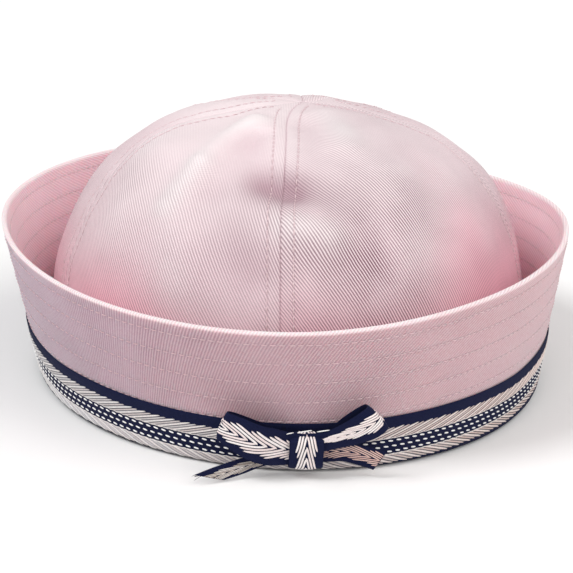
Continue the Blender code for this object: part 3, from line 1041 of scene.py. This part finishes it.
def build_band_ground(material):
    along = np.linspace(0, BAND_LENGTH, 620, endpoint=False)
    spread = np.sin(np.linspace(-math.pi / 2, math.pi / 2, 25))[:, None]
    low = BAND_FOOT - band_middle(along / BAND_RADIUS)
    across = low + (BAND_WIDTH / 2 - low) * (0.5 + spread / 2)
    thick = RIBBON * np.clip(1 - abs(spread) ** 12, 0.15, 1)
    outer = band_surface(along, across, thick)
    inner = band_surface(along, across, 0 * thick)
    section = np.concatenate([outer, inner[::-1]])
    faces = quads(*section.shape[:2], wrap_rows=True, wrap_columns=True)
    weave = np.zeros(section.shape)
    weave[..., 0] = along[None, :] / MM
    weave[..., 1] = (np.concatenate([across, across[::-1]]) + BAND_DROP) / MM
    piece = new_piece("band_ground", (section, faces), material, weave)
    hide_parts("ribbon_band")


def build_band_herringbone(materials):
    """Slanted yarns in the two light stripes: light ones with dark lines between in each tooth."""
    draw = np.random.default_rng(BAND_SEED)
    taper = (0.4, 0.85, 1, 1, 1, 1, 1, 1, 1, 1, 0.85, 0.45)
    share = np.linspace(0, 1, len(taper))
    count = int(round(BAND_LENGTH / BAND_TOOTH))
    tooth_starts = np.arange(count) * BAND_LENGTH / count
    azimuth = (tooth_starts / BAND_RADIUS + math.pi) % (2 * math.pi) - math.pi
    # painted light: the yarns run from a cool grey on the cap's left to a warm tone on its right, as the
    # light falls
    painted_warm_light = 0.5 + 0.5 * np.sin(np.clip(azimuth, -math.pi / 2, math.pi / 2))
    for name, rows in BAND_YARNS.items():
        yarns, yarn_tones_and_painted_light = [], []
        for side, border in ((1, BAND_UPPER), (-1, BAND_LOWER)):
            for place, width, height, short in rows:
                starts = tooth_starts + place * MM / math.sin(BAND_ANGLE)
                reach = border - short - BAND_CORE
                lines = starts[:, None] + share[None, :] * reach / math.tan(BAND_ANGLE)
                levels = BAND_CORE + reach * share[None, :] + 0 * lines
                centres, normals = band_frame(lines, side * levels)
                slant = side * YARN_CUT / math.tan(BAND_ANGLE)
                points, faces = sweep(centres, normals, width, height, taper, slant=slant)
                yarns.append((points, faces))
                # each tooth's tone: the painted warm light with a random spread
                tone = painted_warm_light + draw.uniform(-0.2, 0.2, count)
                if name == "dark" and side > 0:
                    tone = 0.5 + 0.5 * tone
                yarn_tones_and_painted_light.append(marks(len(points), np.repeat(tone, len(points) // count)))
        tones_and_painted_light = np.concatenate(yarn_tones_and_painted_light)
        new_piece(f"band_herringbone_{name}", join(yarns), materials[name], tones_and_painted_light=tones_and_painted_light)


def build_band_dashes(white, cream):
    """Three rows of pick-up stitches on the navy middle, and the fine scalloped lines beside them."""
    taper = (0.5, 0.9, 1, 1, 0.9, 0.5)
    share = np.linspace(-0.5, 0.5, len(taper))
    count = int(round(BAND_LENGTH / DASH_PITCH))
    dashes = []
    for row in (-1, 0, 1):
        starts = (np.arange(count) + (0.5 if row == 0 else 0)) * BAND_LENGTH / count
        lines = starts[:, None] + share[None, :] * DASH_LENGTH
        levels = row * DASH_ROW - share[None, :] * 0.0003 + 0 * lines
        centres, normals = band_frame(lines, levels)
        dashes.append(sweep(centres, normals, DASH_WIDTH, DASH_HEIGHT, taper))
    new_piece("band_dashes", join(dashes), white, tones_and_painted_light=0.0)
    along = np.linspace(0, BAND_LENGTH, 6 * count, endpoint=False)
    scallop = SCALLOP_DEPTH * np.cos(2 * math.pi * along / BAND_LENGTH * count)
    edge = BAND_CORE + 0.0002 + scallop
    lines = [loop_sweep(*band_frame(along, side * edge), SCALLOP_THREAD) for side in (-1, 1)]
    new_piece("band_scallops", join(lines), cream, tones_and_painted_light=0.3)


def bow_place():
    """The bow's own axes: +X along the band, -Y off its face and +Z up it."""
    step = BAND_WIDTH / 4
    climb = BOW_LEVEL - FOLD_RADIUS
    here, above, below = (
        Vector(brim_point(BOW_AZIMUTH, climb + k * step, STAND_OFF))
        for k in (0, 1, -1)
    )
    up = (above - below).normalized()
    along = Vector((math.cos(BOW_AZIMUTH), math.sin(BOW_AZIMUTH), 0))
    turn = Matrix((along, up.cross(along), up)).transposed().to_4x4()
    return np.array(Matrix.Translation(here) @ turn)


def to_cap(points, place):
    return points @ place[:3, :3].T + place[:3, 3]


class Strip:
    """A ribbon between two edge lines, read by its length and its width, a little rounded across."""

    def __init__(self, low, top, width, facing, bulge):
        self.low, self.top, self.width = low, top, width
        self.facing, self.bulge = facing, bulge
        self.travel = travelled((low + top) / 2)
        self.length = self.travel[-1]
        heading = unit(np.gradient((low + top) / 2, axis=0))
        self.ahead = np.sum((top - low) * heading, axis=1)
        reach = np.linalg.norm(top - low - self.ahead[:, None] * heading, axis=1)
        self.squash = np.clip(reach / width, 0.3, 1.05)

    def flat(self, along, across):
        low, top = (read_line(edge, self.travel, along) for edge in (self.low, self.top))
        return low + (top - low) * (across / self.width + 0.5)[..., None]

    def flat_normal(self, along, across):
        step = 0.0005
        on = self.flat(np.minimum(along + step, self.length), across)
        on = on - self.flat(np.maximum(along - step, 0), across)
        up = self.flat(along, across + step) - self.flat(along, across - step)
        return unit(np.cross(on, up)) * self.facing

    def frame(self, along, across):
        """Points and the unit normals of the side that faces out of the bow."""
        normals = self.flat_normal(along, across)
        rise = self.bulge * (1 - np.clip(2 * across / self.width, -1, 1) ** 2)
        return self.flat(along, across) + normals * rise[..., None], normals

    def lead(self, along):
        """How far the top edge runs ahead of the low edge, measured along the ribbon."""
        return np.interp(along, self.travel, self.ahead)

    def unsheared(self, along, across):
        """The length reading at which a straight-woven place of the ribbon lies."""
        reading = along
        for _ in range(6):
            reading = along - across / self.width * self.lead(reading)
        return reading


def strip_from_table(table, towards, reach, depth, place):
    rows = between(table, np.linspace(0, len(table) - 1, 220))
    scale = np.array([towards * reach, -depth, BOW_RIBBON_WIDTH])
    low, top = (to_cap(edge * scale, place) for edge in (rows[:, :3], rows[:, 3:]))
    return Strip(low, top, BOW_RIBBON_WIDTH, towards, 0.0003)


def knot_strip(place):
    rows = between(KNOT, np.linspace(0, len(KNOT) - 1, 120))
    out, up = -KNOT_DEPTH * rows[:, 0], KNOT_HEIGHT / 2 * rows[:, 1]
    half = np.full_like(out, KNOT_WIDTH / 2)
    low, top = (to_cap(np.stack([side * half, out, up], -1), place) for side in (-1, 1))
    return Strip(low, top, KNOT_WIDTH, 1, 0.0003)


def build_strip_ground(name, node, strip, material):
    half = strip.width / 2
    along = np.linspace(0, strip.length, int(strip.length / 0.0005))[:, None]
    across = half * np.sin(np.linspace(-math.pi / 2, math.pi / 2, 23))[None, :]
    along, across = along + 0 * across, across + 0 * along
    centre, normals = strip.frame(along, across)
    thick = RIBBON / 2 * np.clip(1 - (abs(across) / half) ** 10, 0.2, 1)[..., None]
    sides = shell(centre + normals * thick, centre - normals * thick)
    true_along = along + across / strip.width * strip.lead(along)
    weave = np.stack([true_along, across, 0 * along], -1) / MM
    weave = np.concatenate([weave, weave[:, ::-1]], 1)
    piece = new_piece(f"{name}_ground", sides, material, weave)
    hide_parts(node)


def build_strip_yarns(name, strip, lay, border, angle, pitch, apex, width, material, woven=(1, -1)):
    """The herringbone yarns on the faces of a strip, two to a tooth. The apexes point along it or back."""
    draw = np.random.default_rng(len(name))
    yarns, yarn_tones_and_painted_light = [], []
    run = border / math.tan(angle)
    spare = abs(strip.ahead).max() / 2 + run
    cut = np.linspace(0, 1, 120)
    taper = np.ones(14)
    taper[[0, -1]] = 0.6, 0.5
    taper[-2] = 0.88
    readings, middles, scales = lay.T

    def spots(start, side, share):
        """Readings along and across the strip of places on one yarn."""
        true_along = start - apex * share * run
        reading = np.clip(true_along / strip.length, 0, 1)
        middle = np.interp(reading, readings, middles) * MM
        scale = np.interp(reading, readings, scales)
        across = middle + side * scale * (0.0001 + share * (border - 0.0003))
        return strip.unsheared(true_along, across), across

    for face, side in [(face, side) for face in woven for side in (1, -1)]:
        shift = 0.0 if side > 0 else 0.12 * pitch
        slant = apex * side * face * strip.facing * BOW_CUT
        for number, start in enumerate(np.arange(shift - spare, strip.length + spare, pitch)):
            along = spots(start, side, cut)[0]
            last = 1 - 0.5 * (number % 2) * pitch / run
            inside = cut[(along > 0.0001) & (along < strip.length - 0.0001) & (cut <= last)]
            if len(inside) < 12:
                continue
            places = spots(start, side, np.linspace(inside[0], inside[-1], len(taper)))
            centres, normals = strip.frame(*places)
            normals = normals * face
            centres = centres + normals * RIBBON / 2
            wide = width * np.interp(places[0], strip.travel, strip.squash)
            yarns.append(sweep(centres[None], normals[None], wide[None], YARN_HEIGHT, taper, slant=slant))
            yarn_tones_and_painted_light.append(marks(len(yarns[-1][0]), draw.uniform(0, 1)))
    tones_and_painted_light = np.concatenate(yarn_tones_and_painted_light)
    new_piece(f"{name}_yarns", join(yarns), material, tones_and_painted_light=tones_and_painted_light)


def build_tacks(place, white):
    """Hand stitches over the top of the knot."""
    taper = (0.4, 0.9, 1, 1, 1, 1, 0.9, 0.4)
    share = np.linspace(0, 1, len(taper))
    tacks = []
    for start, low, end, high in TACKS_MM:
        along = start + share * (end - start)
        up = low + share * (high - low)
        out = KNOT_DEPTH / MM * 0.62 + 0.9 + 0 * share
        line = to_cap(np.stack([along, -out, up], -1) * MM, place)
        normals = np.tile(place[:3, :3] @ (0, -0.9, 0.4), (len(taper), 1))
        tacks.append(sweep(line[None], unit(normals)[None], 0.00018, 0.00015, taper))
    new_piece("bow_tack_stitches", join(tacks), white, tones_and_painted_light=0.0)


def build_fray(strip, material):
    """Loose threads at the cut end of a tail, in the navy edge."""
    draw = np.random.default_rng(FRAY_SEED)
    share = np.linspace(0, 1, 8)
    threads = []
    for across in np.linspace(0.30, 0.49, 6) * strip.width:
        spot, normal = strip.frame(np.array([strip.length - 0.0008]), np.array([across]))
        before = strip.frame(np.array([strip.length - 0.0030]), np.array([across]))[0]
        ahead = unit(spot - before) + draw.normal(0, 0.12, 3)
        sag = np.array([0, 0, -1]) * draw.uniform(0.0, 0.5) * share[:, None] ** 2
        reach = draw.uniform(0.0014, 0.0030)
        line = spot + (ahead * share[:, None] + 0.3 * sag) * reach
        line[:, 2] = np.maximum(line[:, 2], 0.0002)
        facing = np.tile(normal, (len(share), 1))
        threads.append(sweep(line[None], facing[None], 0.00012, 0.00012, np.linspace(1, 0.35, len(share))))
    new_piece("bow_tail_left_fray", join(threads), material, tones_and_painted_light=0.0)


def build_bow(ground, pale, beige, sandy, white, navy_thread):
    place = bow_place()
    pieces = [
        ("bow_loop_left", LOOP_LEFT, -1, LOOP_REACH, LOOP_DEPTH, WEAVE_LEFT_LOOP, pale),
        ("bow_loop_right", LOOP_RIGHT, 1, LOOP_REACH, LOOP_DEPTH, WEAVE_RIGHT_LOOP, pale),
        ("bow_tail_left", TAIL_LEFT, -1, TAIL_REACH, TAIL_LIFT, WEAVE_LEFT_TAIL, sandy),
        ("bow_tail_right", TAIL_RIGHT, 1, TAIL_RIGHT_REACH, TAIL_LIFT, WEAVE_RIGHT_TAIL, beige),
    ]
    for name, table, towards, reach, depth, lay, yarn in pieces:
        strip = strip_from_table(table, towards, reach, depth, place)
        build_strip_ground(name, name, strip, ground)
        woven = (1,) if "loop" in name else (1, -1)
        build_strip_yarns(
            name, strip, lay, BOW_BORDER, BOW_ANGLE, BOW_PITCH, towards, BOW_YARN, yarn, woven
        )
        if name == "bow_tail_left":
            build_fray(strip, navy_thread)
    knot = knot_strip(place)
    build_strip_ground("bow_knot", "bow_knot", knot, ground)
    build_strip_yarns("bow_knot", knot, WEAVE_KNOT, KNOT_BORDER, KNOT_ANGLE, KNOT_PITCH, -1, KNOT_YARN, pale)
    build_tacks(place, white)


def build_floor():
    mesh = bpy.data.meshes.new("floor")
    mesh.from_pydata([(-4, -4, 0), (4, -4, 0), (4, 4, 0), (-4, 4, 0)], [], [(0, 1, 2, 3)])
    floor = bpy.data.objects.new("floor", mesh)
    floor.location.z = -0.0002
    bpy.context.scene.collection.objects.link(floor)
    material = bpy.data.materials.new("pale_floor")
    material.use_nodes = True
    surface = material.node_tree.nodes["Principled BSDF"]
    surface.inputs["Base Color"].default_value = (0.95, 0.95, 0.95, 1)
    surface.inputs["Roughness"].default_value = 0.9
    surface.inputs["Specular IOR Level"].default_value = 0.1
    mesh.materials.append(material)


# name, azimuth and elevation in degrees, width in degrees, strength and colour of each far light
LIGHTS = [
    ("left_key", -70, 52, 24, 0.46, (1.0, 1.0, 1.0)),
    ("right_key", 72, 50, 50, 0.34, (1.0, 0.97, 0.94)),
    ("front_fill", 4, 28, 60, 0.20, (1.0, 0.99, 0.98)),
]


def sun(name, azimuth, elevation, spread, strength, colour):
    data = bpy.data.lights.new(name, "SUN")
    data.angle = math.radians(spread)
    data.energy = strength * math.pi
    data.color = colour
    light = bpy.data.objects.new(name, data)
    turn, climb = math.radians(azimuth), math.radians(elevation)
    towards = Vector((math.sin(turn) * math.cos(climb), -math.cos(turn) * math.cos(climb), math.sin(climb)))
    light.location = towards
    light.rotation_euler = towards.to_track_quat("Z", "Y").to_euler()
    bpy.context.scene.collection.objects.link(light)


def build_lights():
    world = bpy.data.worlds.new("studio")
    world.use_nodes = True
    world.node_tree.nodes["Background"].inputs["Color"].default_value = (1, 1, 1, 1)
    world.node_tree.nodes["Background"].inputs["Strength"].default_value = 0.42
    bpy.context.scene.world = world
    for light in LIGHTS:
        sun(*light)
    bpy.context.scene.view_settings.view_transform = "Standard"


CAMERA_TARGET = Vector((0, 0, 0.055))
CAMERA_DISTANCE = 0.850
CAMERA_ELEVATION = math.radians(18.614)
CAMERA_ROLL = math.radians(2.326)
CAMERA_LENS = 141.1
FOCAL_PIXELS = 2246.6
OFF_CENTRE_PIXELS = (7.3, 61.0)


def build_camera():
    data = bpy.data.cameras.new("view")
    data.lens = CAMERA_LENS
    data.sensor_width = 36
    camera = bpy.data.objects.new("view", data)
    bpy.context.scene.collection.objects.link(camera)
    back = Vector((0, -math.cos(CAMERA_ELEVATION), math.sin(CAMERA_ELEVATION)))
    look = Euler((math.pi / 2 - CAMERA_ELEVATION, 0, 0)).to_matrix().to_4x4()
    roll = Matrix.Rotation(CAMERA_ROLL, 4, "Z")
    across, up = (math.atan(pixels / FOCAL_PIXELS) for pixels in OFF_CENTRE_PIXELS)
    nudge = Euler((-up, across, 0)).to_matrix().to_4x4()
    spot = Matrix.Translation(CAMERA_TARGET + back * CAMERA_DISTANCE)
    camera.matrix_world = spot @ look @ roll @ nudge
    bpy.context.scene.camera = camera


def build_cap():
    # The pale, shade and deep colours of the twills are also the tones of the painted highlights, painted
    # shade and painted light; the brim's bluish shade is its painted cool shade on the left.
    crown_twill = twill(
        "crown_twill", CROWN_TWILL_MM, (0.26, 0.16, 0.20, 1), (0.93, 0.74, 0.78, 1),
        (0.93, 0.85, 0.86, 1), (0.54, 0.37, 0.42, 1), (0.96, 0.51, 0.60, 1),
    )
    brim_twill = twill(
        "brim_twill", BRIM_TWILL_MM, (0.55, 0.45, 0.48, 1), (0.77, 0.45, 0.42, 1),
        (0.92, 0.82, 0.81, 1), (0.35, 0.32, 0.44, 1), (0.99, 0.75, 0.79, 1), glow=0.6,
    )
    pink_thread = yarn_material("pink_thread", (0.70, 0.50, 0.54, 1), (0.95, 0.80, 0.82, 1))
    navy = (0.0045, 0.0065, 0.028, 1)
    band_ground = ribbon_ground("band_ground", navy, (0.58, 0.55, 0.57, 1), 3.1, 6.2)
    bow_ground = ribbon_ground("bow_ground", navy, navy)
    navy_thread = yarn_material("navy_thread", navy, navy)
    cream = yarn_material("cream_yarn", (0.80, 0.79, 0.78, 1), (0.92, 0.80, 0.76, 1))
    soft = yarn_material("soft_yarn", (0.62, 0.61, 0.62, 1), (0.74, 0.58, 0.54, 1))
    dark = yarn_material("dark_yarn", (0.62, 0.60, 0.66, 1), (0.03, 0.02, 0.03, 1))
    white = yarn_material("white_yarn", (0.95, 0.95, 0.95, 1), (0.95, 0.95, 0.95, 1), 0.75)
    pale = yarn_material("bow_yarn", (0.95, 0.90, 0.89, 1), (0.90, 0.78, 0.77, 1), 0.7)
    beige = yarn_material("right_tail_yarn", (0.72, 0.46, 0.42, 1), (0.86, 0.64, 0.58, 1))
    sandy = yarn_material("left_tail_yarn", (0.52, 0.44, 0.38, 1), (0.84, 0.78, 0.74, 1))
    build_crown(crown_twill, pink_thread)
    build_brim(brim_twill, pink_thread)
    build_band_ground(band_ground)
    build_band_herringbone({"bright": cream, "dark": dark, "soft": soft})
    build_band_dashes(white, cream)
    build_bow(bow_ground, pale, beige, sandy, white, navy_thread)


build_camera()
build_cap()
build_floor()
build_lights()
